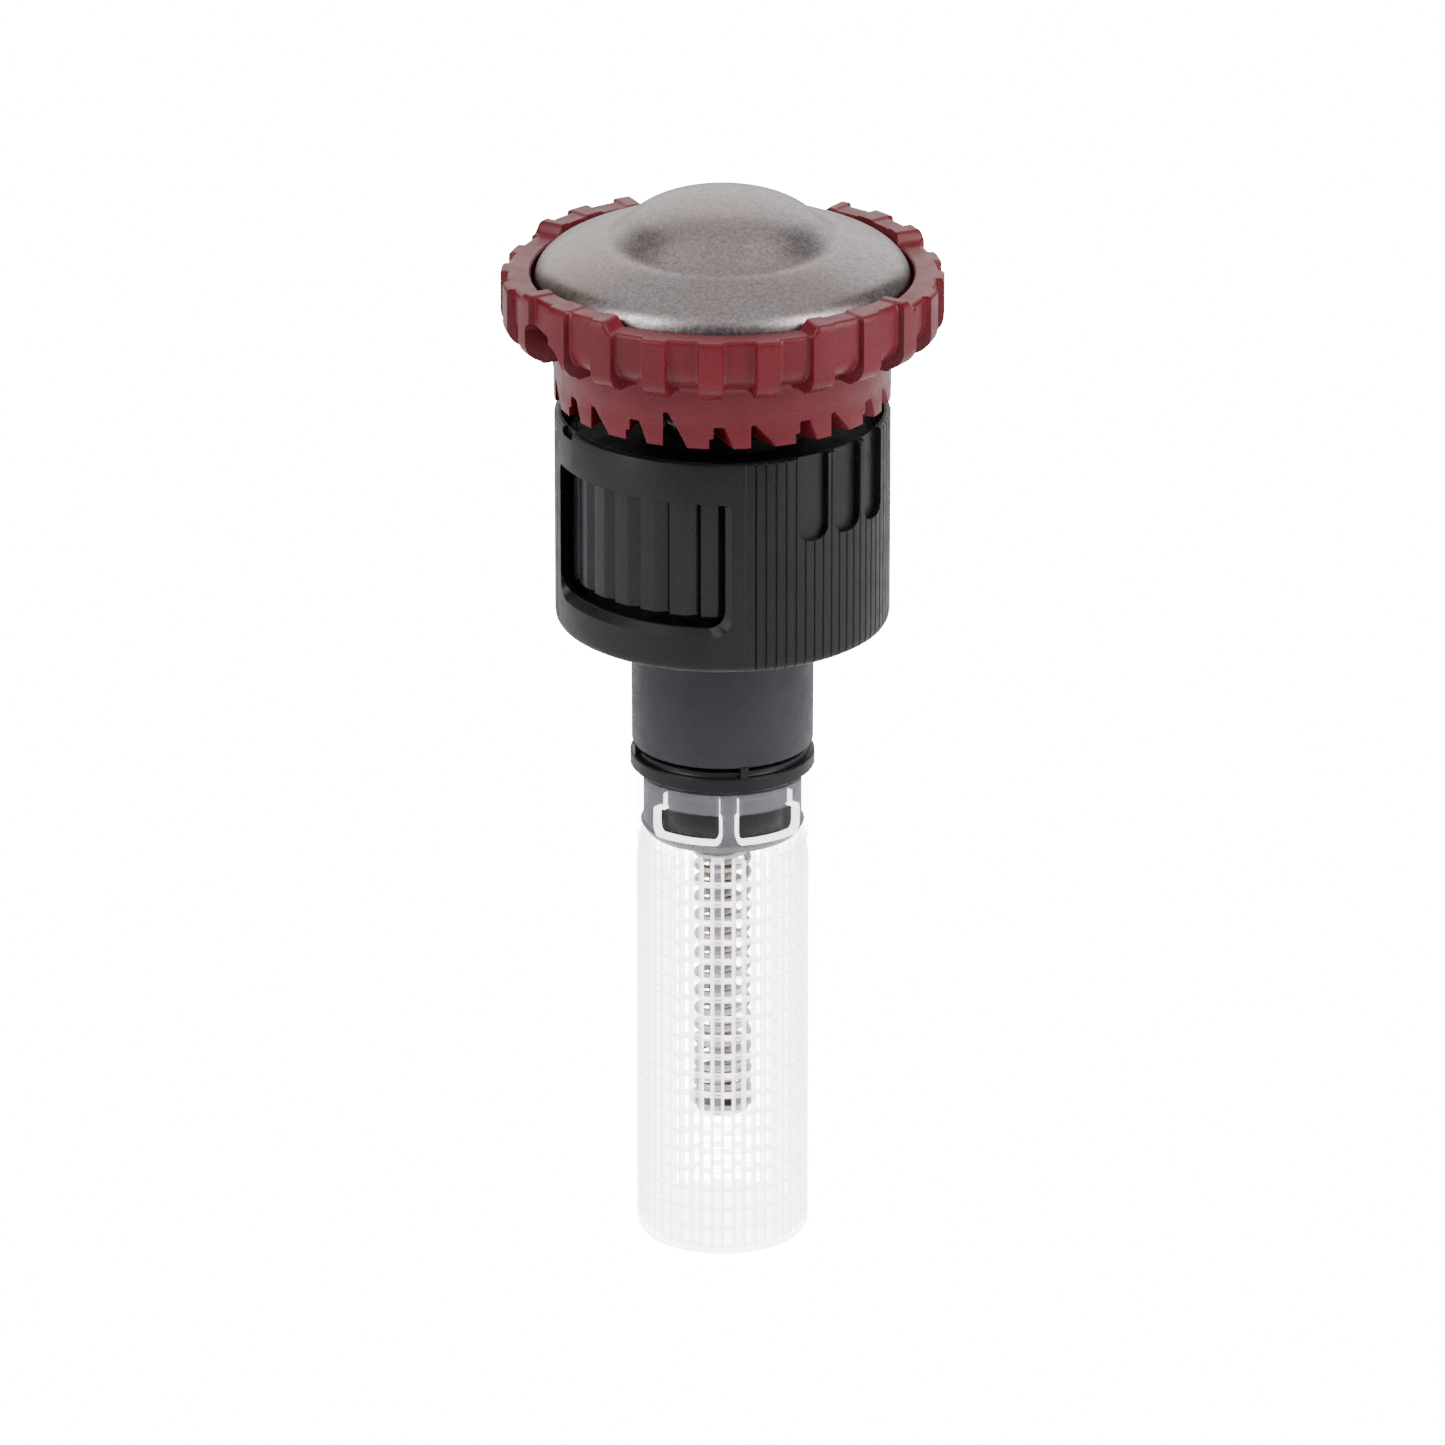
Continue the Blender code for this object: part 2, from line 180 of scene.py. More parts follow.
def reshape(piece, rule):
    """Moves every vertex: the rule gets bearing, radius and height, and gives the new ones."""
    for vertex in piece.data.vertices:
        x, y, z = vertex.co / MM
        bearing = math.degrees(math.atan2(x, -y))
        bearing, radius, height = rule(bearing, math.hypot(x, y), z)
        vertex.co = at(radius, bearing, height)
    piece.data.update()


def arc(centre, radius, start, end, count):
    """Points of a rounded corner: angles run from +R towards +Z."""
    turns = [math.radians(start + (end - start) * i / count) for i in range(count + 1)]
    return [(centre[0] + radius * math.cos(a), centre[1] + radius * math.sin(a)) for a in turns]


def smooth_step(low, high, value):
    share = min(1.0, max(0.0, (value - low) / (high - low)))
    return share * share * (3 - 2 * share)


# %% [markdown]
# Every finish is a small node tree on one Principled shader. Colours are written as the sRGB hex
# values that one reads off a colour card, and one function turns them to the linear numbers that
# the shader wants. One function adds a node, with its settings and links.

# %% Colour and nodes
def colour(text):
    parts = [int(text[i:i + 2], 16) / 255 for i in (0, 2, 4)]
    return [p / 12.92 if p <= 0.04045 else ((p + 0.055) / 1.055) ** 2.4 for p in parts] + [1.0]


def add_node(tree, kind, inputs=None, **settings):
    node = tree.nodes.new(kind)
    for key, value in settings.items():
        setattr(node, key, value)
    for key, value in (inputs or {}).items():
        if isinstance(value, bpy.types.NodeSocket):
            tree.links.new(value, node.inputs[key])
        else:
            node.inputs[key].default_value = value
    return node


def new_finish(name):
    finish = bpy.data.materials.new(name)
    finish.use_nodes = True
    tree = finish.node_tree
    place = add_node(tree, "ShaderNodeTexCoord").outputs["Object"]
    return finish, tree, tree.nodes["Principled BSDF"], place


def per_mm(size):
    """The scale of a noise whose grains are about this many millimetres wide."""
    return 1 / (size * MM)


def ramp(tree, value, stops):
    node = add_node(tree, "ShaderNodeValToRGB", {"Fac": value})
    while len(node.color_ramp.elements) < len(stops):
        node.color_ramp.elements.new(0.5)
    for element, (position, tint) in zip(node.color_ramp.elements, stops):
        element.position = position
        element.color = tint
    return node.outputs["Color"]


def grey(level):
    return (level, level, level, 1.0)


# %% [markdown]
# The mouldings are acetal, a slippery engineering plastic: satin, a little waxy, with a faint skin
# texture from the tool and slow changes of gloss where the melt flowed. Colour varies by a few per
# cent over some millimetres, gloss over one or two, and a grain of about a tenth of a millimetre
# breaks up the highlights.

# %% Moulded acetal
def moulded_acetal(name, dark, light, low_gloss, high_gloss, grain=0.12, relief=0.012):
    finish, tree, shader, place = new_finish(name)
    flow = add_node(tree, "ShaderNodeTexNoise", {"Vector": place, "Scale": per_mm(5), "Detail": 3.0})
    tint = ramp(tree, flow.outputs["Fac"], [(0.3, colour(dark)), (0.7, colour(light))])
    tree.links.new(tint, shader.inputs["Base Color"])
    skin = add_node(tree, "ShaderNodeTexNoise", {"Vector": place, "Scale": per_mm(1.4), "Detail": 6.0})
    gloss = add_node(tree, "ShaderNodeMapRange", {
        "Value": skin.outputs["Fac"], "From Min": 0.3, "From Max": 0.7,
        "To Min": low_gloss, "To Max": high_gloss})
    tree.links.new(gloss.outputs["Result"], shader.inputs["Roughness"])
    fine = add_node(tree, "ShaderNodeTexNoise", {"Vector": place, "Scale": per_mm(grain), "Detail": 2.0})
    bump = add_node(tree, "ShaderNodeBump", {
        "Height": fine.outputs["Fac"], "Strength": 0.5, "Distance": relief * MM})
    tree.links.new(bump.outputs["Normal"], shader.inputs["Normal"])
    shader.inputs["IOR"].default_value = 1.48
    shader.inputs["Specular IOR Level"].default_value = 0.3
    return finish


RED_ACETAL = moulded_acetal("moulded_red_acetal", "5C0F19", "691822", 0.3, 0.44)
BLACK_ACETAL = moulded_acetal("moulded_black_acetal", "0D0C10", "131216", 0.32, 0.46, relief=0.008)
DEEP_ACETAL = moulded_acetal("moulded_dark_grey_acetal", "25242B", "2D2C35", 0.38, 0.5)
GLOSSY_ACETAL = moulded_acetal("polished_black_acetal", "141318", "1B1A20", 0.2, 0.3, grain=0.8,
                               relief=0.0003)
# Darker than the collar's black: painted shade, for the shadow that the deflector casts on the cover plate.
PAINTED_SHADE_ACETAL = moulded_acetal("matt_black_acetal_painted_shade", "070708", "0B0B0D", 0.6, 0.75)
WHITE_ACETAL = moulded_acetal("natural_white_acetal", "CFCCC2", "DAD7CE", 0.36, 0.5)
NITRILE = moulded_acetal("black_nitrile_rubber", "101011", "161617", 0.6, 0.75, relief=0.02)


# %% [markdown]
# The cap is pressed from stainless sheet and then tumbled, which leaves a grey, speckled, half-matt
# skin. Handling and heat leave a brownish cast. Metal keeps the default IOR, and its look comes
# from roughness that changes over a few tenths of a millimetre, and a bump of fine pits.

# %% Tumbled stainless steel
def tumbled_steel(name, dark, light, warm, low_gloss, high_gloss):
    finish, tree, shader, place = new_finish(name)
    shader.inputs["Metallic"].default_value = 1.0
    speckle = add_node(tree, "ShaderNodeTexNoise", {
        "Vector": place, "Scale": per_mm(0.25), "Detail": 6.0, "Roughness": 0.7})
    base = ramp(tree, speckle.outputs["Fac"], [(0.36, colour(dark)), (0.64, colour(light))])
    cast = add_node(tree, "ShaderNodeTexNoise", {"Vector": place, "Scale": per_mm(7), "Detail": 4.0})
    amount = ramp(tree, cast.outputs["Fac"], [(0.42, grey(0.0)), (0.7, grey(0.55))])
    mix = add_node(tree, "ShaderNodeMix", {0: amount, 6: base, 7: colour(warm)}, data_type="RGBA")
    tree.links.new(mix.outputs[2], shader.inputs["Base Color"])
    haze = add_node(tree, "ShaderNodeTexNoise", {
        "Vector": place, "Scale": per_mm(0.6), "Detail": 8.0, "Roughness": 0.65})
    gloss = add_node(tree, "ShaderNodeMapRange", {
        "Value": haze.outputs["Fac"], "From Min": 0.3, "From Max": 0.7,
        "To Min": low_gloss, "To Max": high_gloss})
    tree.links.new(gloss.outputs["Result"], shader.inputs["Roughness"])
    pits = add_node(tree, "ShaderNodeTexNoise", {
        "Vector": place, "Scale": per_mm(0.14), "Detail": 3.0, "Roughness": 0.6})
    bump = add_node(tree, "ShaderNodeBump", {
        "Height": pits.outputs["Fac"], "Strength": 0.6, "Distance": 0.02 * MM})
    tree.links.new(bump.outputs["Normal"], shader.inputs["Normal"])
    return finish


CAP_STEEL = tumbled_steel("tumbled_stainless_steel", "7A7273", "A3999A", "8F7C70", 0.27, 0.42)
SHAFT_STEEL = tumbled_steel("drawn_stainless_steel", "908A84", "B0A8A0", "8C7C6C", 0.25, 0.4)


# %% [markdown]
# The basket is natural polypropylene, milky and half see-through. A thin wall lets most light past,
# so the black spigot shows through the bell as a lilac-grey shadow, and a thick edge looks white.
# So there are two finishes: one for the thin wall, and a denser one for the bars' borders, the rings
# and the slots' rims. Each glows without a lamp, a painted glow that stands for the light the milky
# plastic scatters inside: faint on the thin wall, and strong on the denser finish, which burns its edges
# white.

# %% Natural polypropylene
def natural_polypropylene(name, dark, light, alpha, glow):
    finish, tree, shader, place = new_finish(name)
    milk = add_node(tree, "ShaderNodeTexNoise", {"Vector": place, "Scale": per_mm(3), "Detail": 3.0})
    tint = ramp(tree, milk.outputs["Fac"], [(0.3, colour(dark)), (0.7, colour(light))])
    tree.links.new(tint, shader.inputs["Base Color"])
    skin = add_node(tree, "ShaderNodeTexNoise", {"Vector": place, "Scale": per_mm(0.5), "Detail": 4.0})
    gloss = add_node(tree, "ShaderNodeMapRange", {
        "Value": skin.outputs["Fac"], "To Min": 0.2, "To Max": 0.42})
    tree.links.new(gloss.outputs["Result"], shader.inputs["Roughness"])
    bump = add_node(tree, "ShaderNodeBump", {
        "Height": skin.outputs["Fac"], "Strength": 0.3, "Distance": 0.02 * MM})
    tree.links.new(bump.outputs["Normal"], shader.inputs["Normal"])
    shader.inputs["IOR"].default_value = 1.49
    shader.inputs["Alpha"].default_value = alpha
    shader.inputs["Emission Color"].default_value = (1.0, 0.98, 1.0, 1.0)
    shader.inputs["Emission Strength"].default_value = glow
    return finish


# Painted glow: the last number is an emission, faint on the thin wall and strong on the thick finish.
THIN_POLY = natural_polypropylene("thin_polypropylene", "D6D4E8", "E4E2F2", 0.085, 0.05)
THICK_GLOWING_POLY = natural_polypropylene("thick_polypropylene_painted_glow", "F8F6FB", "FFFFFF", 0.56, 2.2)


# %% [markdown]
# `fit_out` gives a finished piece its finish and the body it moves with, and hides the CAD node that
# it stands for.

# %% Fit a piece to the frame
def fit_out(piece, finish, body, slot, *nodes):
    if finish:
        piece.data.materials.clear()
        piece.data.materials.append(finish)
    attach(piece, body)
    if nodes:
        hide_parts(*nodes)
    print(piece.name, len(piece.data.polygons), "faces")


# %% [markdown]
# ## The camera, the floor and the light
# The view is from the front, about 21 degrees above level, through a long lens, which keeps the
# sides parallel. The floor is a wide white sheet whose glow only the camera sees, so it burns out
# to white and lights nothing. It lies low enough for the basket to be pulled off above it. Large
# soft lights stand left and right, one low and one high on each side, and above and behind. The
# steel cap mirrors them: the two above and behind give its grey, the others its bright rim.

# %% Camera
VIEW_RISE = math.radians(21.4)
VIEW_DISTANCE = 0.9
VIEW_HEIGHT = -8.4 * MM
FRAME_WIDTH = 104.8 * MM
camera_data = bpy.data.cameras.new("camera")
camera_data.sensor_width = 36.0
camera_data.lens = 36.0 * VIEW_DISTANCE / FRAME_WIDTH
camera_data.clip_start = 0.01
camera_data.clip_end = 20.0
camera = bpy.data.objects.new("camera", camera_data)
camera.location = (0.0, -VIEW_DISTANCE * math.cos(VIEW_RISE),
                   VIEW_HEIGHT + VIEW_DISTANCE * math.sin(VIEW_RISE))
camera.rotation_euler = (math.pi / 2 - VIEW_RISE, 0.0, 0.0)
bpy.context.scene.collection.objects.link(camera)
bpy.context.scene.camera = camera
print("lens", round(camera_data.lens), "mm")

# %% Floor
PULL_ROOM = 33.0
FLOOR_GLOW = 17.0
deselect()
bpy.ops.mesh.primitive_plane_add(size=6.0, location=(0, 0, (FOOT - PULL_ROOM) * MM))
floor = bpy.context.object
floor.name = "floor"
floor_finish, floor_tree, floor_shader, _ = new_finish("pale_studio_floor")
floor_shader.inputs["Base Color"].default_value = (0.93, 0.93, 0.93, 1.0)
floor_shader.inputs["Roughness"].default_value = 0.9
floor_shader.inputs["Emission Color"].default_value = (1.0, 1.0, 1.0, 1.0)
seen = add_node(floor_tree, "ShaderNodeLightPath").outputs["Is Camera Ray"]
glow = add_node(floor_tree, "ShaderNodeMath", {0: seen, 1: FLOOR_GLOW}, operation="MULTIPLY")
floor_tree.links.new(glow.outputs["Value"], floor_shader.inputs["Emission Strength"])
floor.data.materials.append(floor_finish)
print("floor at", round(FOOT - PULL_ROOM, 1), "mm")


# %% Lights
WORLD_LIGHT = 0.15


def soft_light(name, place, size, power, aim=(0.0, 0.0, 0.0)):
    data = bpy.data.lights.new(name, "AREA")
    data.shape = "RECTANGLE"
    data.size, data.size_y = size
    data.energy = power
    lamp = bpy.data.objects.new(name, data)
    lamp.location = place
    lamp.rotation_euler = (Vector(aim) - Vector(place)).to_track_quat("-Z", "Y").to_euler()
    bpy.context.scene.collection.objects.link(lamp)


soft_light("left_softbox", (-0.8, -0.4, 0.3), (0.5, 0.8), 4.6)
soft_light("right_softbox", (0.8, -0.35, 0.3), (0.45, 0.8), 8.2)
soft_light("left_high_softbox", (-0.62, -0.35, 0.7), (0.3, 0.3), 3.6)
soft_light("right_high_softbox", (0.62, -0.35, 0.7), (0.3, 0.3), 3.0)
soft_light("top_softbox", (0.0, 0.0, 1.1), (1.5, 1.8), 7.0)
soft_light("back_softbox", (0.0, 1.2, 0.55), (1.8, 1.1), 11.0)
world = bpy.data.worlds.new("studio")
world.use_nodes = True
world.node_tree.nodes["Background"].inputs["Color"].default_value = (1.0, 1.0, 1.0, 1.0)
world.node_tree.nodes["Background"].inputs["Strength"].default_value = WORLD_LIGHT
bpy.context.scene.world = world


# %% [markdown]
# Windows, pockets, ports and slots all go round a wall. Their cutter is a flat grid with some depth,
# wrapped round the axis: rows close to an end are narrower, which rounds the corners, and the outer
# face can flare to the right and below. With straight sides it keeps its width in millimetres.

# %% A cutter that is wrapped round the axis
def wrapped_block(name, bearings, heights, radii, top_corner=0.0, low_corner=0.0, flare=(0.0, 0.0),
                  straight=False):
    deselect()
    bpy.ops.mesh.primitive_grid_add(x_subdivisions=24, y_subdivisions=28, size=2.0)
    piece = bpy.context.object
    piece.name = name
    bpy.ops.object.mode_set(mode="EDIT")
    bpy.ops.mesh.select_all(action="SELECT")
    bpy.ops.mesh.extrude_region_move(TRANSFORM_OT_translate={"value": (0, 0, 1)})
    bpy.ops.mesh.select_all(action="SELECT")
    bpy.ops.mesh.normals_make_consistent(inside=False)
    bpy.ops.object.mode_set(mode="OBJECT")
    right, below = flare
    middle = (bearings[0] + bearings[1]) / 2
    half = math.radians(bearings[1] - bearings[0]) / 2 * COLLAR_R
    for vertex in piece.data.vertices:
        side, rise, out = vertex.co
        rise = math.sin(math.pi / 2 * rise)
        low = heights[0] - below * out
        height = low + (heights[1] - low) * (rise + 1) / 2
        corner, room = (top_corner, heights[1] - height) if rise > 0 else (low_corner, height - low)
        pull = 0.0
        if room < corner:
            pull = corner - math.sqrt(max(corner ** 2 - (corner - room) ** 2, 0.0))
        reach = (half + (right * out if side > 0 else 0.0) - pull) * side
        radius = radii[0] + (radii[1] - radii[0]) * out
        turn = reach / COLLAR_R
        if straight:
            turn = math.asin(max(-1.0, min(1.0, COLLAR_R * math.sin(turn) / radius)))
        vertex.co = at(radius, middle + math.degrees(turn), height)
    piece.data.update()
    return piece


# %% [markdown]
# ## The deflector's grip ring
# Fingers turn the deflector by this ring. It is one moulding with ribs that stand proud and curl in
# under the ring, and the wall between them curls in sooner. So the ring is lathed once, row by row,
# and each row has two places: one between ribs and one on a rib. Pulling every column to one or the
# other gives ribs with true edges and no extra cutting. Four raised lands on top are pulled up the
# same way, with sloped ends. Last, a port is cut through the wall under one land, where a core of
# the mould was drawn out sideways.

# %% Two outlines, one between the ribs and one on them
LOW_TOP = BLOCK_TOP - 0.77
CAP_BORE = 13.75
WALL_R = GRIP_R - 0.45
RING_FOOT = 21.67
GRIP_COLUMNS = 720
RIB_PITCH = 15.0
RIB_OFFSET = -3.0
RIB_HALF = 3.3
LANDS = (-48.0, 41.0, 131.0, -139.0)


def ellipse(centre, across, down, start, end, count):
    turns = [math.radians(start + (end - start) * i / count) for i in range(count + 1)]
    return [(centre[0] + across * math.cos(a), centre[1] - down * math.sin(a)) for a in turns]


def ring_outline(radius, bend, across, down, reach, ending):
    top = [(CAP_BORE + 0.12 + (radius - 0.45 - CAP_BORE) * i / 5, LOW_TOP) for i in range(6)]
    edge = arc((radius - 0.3, LOW_TOP - 0.3), 0.3, 75, 0, 4)
    wall = [(radius, LOW_TOP - 0.3 + (bend - LOW_TOP + 0.3) * i / 9) for i in range(1, 9)]
    curl = ellipse((radius - across, bend), across, down, 0, reach, 12)
    return top + edge + wall + curl + ending


BETWEEN = ring_outline(WALL_R, 24.3, 2.7, 2.1, 72, [
    (13.0, 22.1), (12.62, 21.92), (12.38, 21.72), (12.22, 21.45)])
ON_RIB = ring_outline(GRIP_R, 23.4, 2.0, 1.62, 66, [
    (14.5, RING_FOOT + 0.06), (14.3, RING_FOOT), (13.2, RING_FOOT), (12.22, 21.45)])
INSIDE = [(12.2, 21.3), (12.05, 21.3), (12.05, 24.2), (CAP_BORE, 24.2), (CAP_BORE, LOW_TOP - 0.12)]


def nearest(bearing, offset, pitch):
    return (bearing - offset + pitch / 2) % pitch - pitch / 2


def on_land(bearing):
    away = min(abs((bearing - land + 180) % 360 - 180) for land in LANDS)
    return 1 - smooth_step(15.2, 18.2, away)


# %% Lathe the ring and pull its columns
ring = lathe("deflector_ring", BETWEEN + INSIDE, GRIP_COLUMNS)
LAND_FOOT = LOW_TOP - 1.1
PORT = (-62.0, -46.5)


def pull_ring(vertex):
    row = vertex.index // GRIP_COLUMNS
    x, y, z = vertex.co / MM
    bearing = math.degrees(math.atan2(x, -y))
    radius = math.hypot(x, y)
    rib = 0.0
    if row < len(ON_RIB):
        rib = 1 - smooth_step(RIB_HALF - 0.2, RIB_HALF + 0.3, abs(nearest(bearing, RIB_OFFSET, RIB_PITCH)))
        target = ON_RIB[row]
        radius += (target[0] - radius) * rib
        z += (target[1] - z) * rib
    if z > LAND_FOOT:
        lift = on_land(bearing) * (BLOCK_TOP - 0.1 - LOW_TOP + 0.1 * rib)
        z += lift * (z - LAND_FOOT) / (LOW_TOP - LAND_FOOT)
    vertex.co = at(radius, bearing, z)


for vertex in ring.data.vertices:
    pull_ring(vertex)
ring.data.update()


def slope_port(bearing, radius, height):
    share = min(1.0, max(0.0, (bearing - PORT[0]) / (PORT[1] - PORT[0])))
    return bearing, radius, height - 1.5 * share ** 1.6 * (height > 22)


port = wrapped_block("port", PORT, (20.9, 25.1), (12.75, 16.4), 0.7, 0.0)
reshape(port, slope_port)
cut(ring, [port], crossing=True)
shade(ring, 38)
fit_out(ring, RED_ACETAL, "rotor", "dark_red_plastic", "deflector")

# %% [markdown]
# ## The deflector's skirt and flutes
# Water leaves through curved channels in the deflector's underside, and the skirt shows their ends:
# twenty-four notches, every other one with a small step. Each channel is cut with one long wedge
# whose section is the notch. The wedge is extruded straight inwards, then wrapped round the axis and
# swept along a curve, so that the cut narrows and turns towards the hub.

# %% Lathe the skirt
SKIRT_R = 12.2
CHAMBER_R = 8.8
CHAMBER_FLOOR = 21.0
BUSH_BORE = 1.75
TIP = 17.15
HUB_R = 4.4
skirt_outline = [
    (SKIRT_R, 22.6), (SKIRT_R, 19.45), (SKIRT_R - 0.07, 19.35), (SKIRT_R - 0.07, 18.2),
    (SKIRT_R - 0.07, TIP), (9.0, TIP), (5.6, TIP), (HUB_R, HUB_FACE), (BUSH_BORE, HUB_FACE),
    (BUSH_BORE, CHAMBER_FLOOR), (CHAMBER_R, CHAMBER_FLOOR), (CHAMBER_R, 25.0),
    (CHAMBER_R + 0.9, 25.0), (CHAMBER_R + 0.9, 24.2), (12.1, 24.2), (12.1, 22.6)]
skirt = lathe("deflector_skirt", skirt_outline, 240)


# %% Wedges that cut the channels
def wedge(name, section, bearing):
    deselect()
    bpy.ops.mesh.primitive_circle_add(vertices=len(section), radius=MM, fill_type="NGON")
    piece = bpy.context.object
    piece.name = name
    for vertex, (side, height) in zip(piece.data.vertices, section):
        vertex.co = Vector((side, -13.4, height)) * MM
    bpy.ops.object.mode_set(mode="EDIT")
    bpy.ops.mesh.select_all(action="SELECT")
    for step in range(8):
        bpy.ops.mesh.extrude_region_move(TRANSFORM_OT_translate={"value": (0, 1.0 * MM, 0)})
    bpy.ops.mesh.select_all(action="SELECT")
    bpy.ops.mesh.normals_make_consistent(inside=False)
    bpy.ops.object.mode_set(mode="OBJECT")
    for vertex in piece.data.vertices:
        side, inward, height = vertex.co / MM
        radius = -inward
        turned = bearing + math.degrees(side / SKIRT_R) - 2.4 * max(0.0, SKIRT_R - radius)
        lower = TIP + (height - TIP) * (1.0 if radius > 9.5 else 0.7)
        vertex.co = at(radius, turned, lower if height > TIP else height)
    return piece


def notch(depth, apex, left, right, step=0.0):
    low = TIP - 0.8
    points = [(left, low), (right + 0.25, low), (right, TIP + 0.12), (apex, TIP + depth - 0.12),
              (apex - 0.12, TIP + depth), (left + step + 0.1, TIP + depth)]
    if step:
        shelf = TIP + 0.48 * depth
        points += [(left + step, TIP + depth - 0.1), (left + step, shelf), (left, shelf - 0.06)]
    else:
        points += [(left, TIP + depth - 0.1)]
    return points


wedges = []
for i in range(12):
    bearing = 30.0 * i
    wedges.append(wedge("stepped_wedge", notch(1.6, 0.32, -0.85, 0.85, 0.32), bearing))
    deep = 2.55 if i == 11 else 1.7
    wedges.append(wedge("plain_wedge", notch(deep, -0.1, -0.55, 1.2), bearing + 12.7))
cut(skirt, [join("wedges", wedges)])
round_edges(skirt, 0.06, 2, 40)
shade(skirt, 40)
fit_out(skirt, RED_ACETAL, "rotor", "dark_red_plastic")

# %% [markdown]
# ## The steel cap
# The cap is a pressed disc with a raised boss in the middle and a rolled-down rim. A sheet is lathed
# along its outside, from the rim to the apex, and Solidify gives it the thickness of the metal.
# Subdivision rounds the sheet between the few points of the outline.

# %% Press the cap
cap_outline = [
    (CAP_R, CAP_RIM), (CAP_R, 25.2), (CAP_R, 25.9), (13.42, 26.35), (13.15, 26.85), (12.65, 27.35),
    (11.9, 27.72), (11.1, 28.07), (10.3, 28.4), (9.7, 28.62), (9.2, 28.79), (8.9, 28.86), (8.65, 28.89),
    (8.4, 28.95), (8.1, 29.13), (7.65, 29.48), (7.1, 29.93), (6.5, 30.43), (5.8, 30.93), (4.7, 31.42),
    (3.4, 31.74), (1.8, 31.93), (0.7, 31.99), (0, CAP_TOP)]
cap = lathe("steel_cap", cap_outline, 72, closed=False)
apply_modifier(cap, "SUBSURF", levels=2, render_levels=2)
apply_modifier(cap, "SOLIDIFY", thickness=0.5 * MM, offset=-1.0)
round_edges(cap, 0.08, 2, 60)
shade(cap, 50)
fit_out(cap, CAP_STEEL, "rotor", "stainless_steel", "cap_dome")

# %% [markdown]
# ## The collar
# The black collar hides the riser thread. It has a window on the radius ring, a band of fine serration
# for grip and three thumb pockets at the rim. The serration is a shallow groove every 3.6 degrees, so
# the lathed wall has twelve columns to each and two of them are pulled in. The window's cutter has
# straight sides, as the side action of a mould pulls straight out, and a second cutter that flares
# leaves the scooped edge below it.

# %% Lathe the collar and groove its serration
COLLAR_BORE = 11.25
LIP_R = 9.35
SERRATION_PITCH = 3.6
SERRATION_START = 11.2
SERRATION_WIDTH = 92.0
SERRATION_CUT = 0.55
SERRATION_DEPTH = 0.09
collar_outline = [
    (11.62, 15.9), (11.78, COLLAR_TOP), (11.95, COLLAR_TOP - 0.03), (12.06, COLLAR_TOP - 0.12),
    (COLLAR_R, COLLAR_TOP - 0.28), (COLLAR_R, 12.0), (COLLAR_R, 8.0), (COLLAR_R, 4.0), (COLLAR_R, 0.75),
    (12.05, 0.4), (11.9, 0.15), (11.65, 0.0), (LIP_R + 0.1, 0.0), (LIP_R, 0.1), (LIP_R, 1.0),
    (COLLAR_BORE, 1.0), (COLLAR_BORE, 14.65), (11.4, 15.3)]
collar = lathe("collar", collar_outline, 1200)


def groove_serration(bearing, radius, height):
    along = (bearing - SERRATION_START) % 180
    inside = along < SERRATION_WIDTH and radius > 11.93 and 0.3 < height < COLLAR_TOP - 0.05
    if inside and (along + 0.3) % SERRATION_PITCH < SERRATION_CUT:
        radius -= SERRATION_DEPTH
    if radius > 11.93 and abs(bearing % 360 - 8.1) < 0.2:
        radius -= 0.03
    return bearing, radius, height


reshape(collar, groove_serration)

# %% Cut the windows and pockets
WINDOW = (-74.0, -0.3)
POCKETS = ((26.6, 38.6), (41.5, 54.0), (57.0, 69.5))
cutters = []
for turn in (0, 180):
    start, end = (edge + turn for edge in WINDOW)
    cutters.append(wrapped_block("window", (start, end), (3.3, 12.9), (10.6, 12.9), 0.4, 1.5, straight=True))
    cutters.append(wrapped_block("scoop", (start, end), (3.25, 12.85), (11.55, 12.3), 0.5, 1.5, (0.95, 0.7)))
    for first, last in POCKETS:
        cutters.append(wrapped_block(
            "pocket", (first + turn, last + turn), (9.5, COLLAR_TOP + 0.7), (11.6, 12.6), 0.0, 1.0))
    cutters.append(wrapped_block(
        "rim_nick", (-71.0 + turn, -62.5 + turn), (15.35, 16.6), (11.7, 12.6), 0.0, 0.3))
cut(collar, cutters)
shade(collar, 30)
fit_out(collar, BLACK_ACETAL, "base", "black_plastic", "collar_shell")

# %% [markdown]
# ## The radius ring
# A finger in the window turns this ring, which opens and closes the throttle. Each of its thirty
# plates is level for two thirds of its width, then falls away to a steep, narrow groove. The ring is
# lathed with half-degree columns, and a column is pulled in by how far it is along its plate.

# %% Lathe the radius ring
PLATE_PITCH = 12.0
GROOVE_START = -45.0
GROOVE_WIDTH = 0.8
GROOVE_DEPTH = 0.62
LEVEL_END = 7.2
PLATE_FALL = 0.48
ring_outline_points = [
    (RING_R - 0.12, RING_TOP), (RING_R, RING_TOP - 0.12), (RING_R, 9.0), (RING_R, 4.0),
    (RING_R - 0.15, 3.8), (10.35, 3.75), (10.2, 3.6), (10.2, RING_BOTTOM), (9.5, RING_BOTTOM),
    (9.5, RING_TOP)]
radius_ring = lathe("adjuster_ring", ring_outline_points, 720)


def lean_plates(bearing, radius, height):
    along = (bearing - GROOVE_START) % PLATE_PITCH
    if radius > 10.8:
        if along < GROOVE_WIDTH:
            radius -= GROOVE_DEPTH
        else:
            fall = max(0.0, along - LEVEL_END) / (PLATE_PITCH - LEVEL_END)
            radius -= 0.06 + PLATE_FALL * fall
    return bearing, radius, height


reshape(radius_ring, lean_plates)
shade(radius_ring, 30)
fit_out(radius_ring, GLOSSY_ACETAL, "radius_group", "black_plastic", "radius_ring")
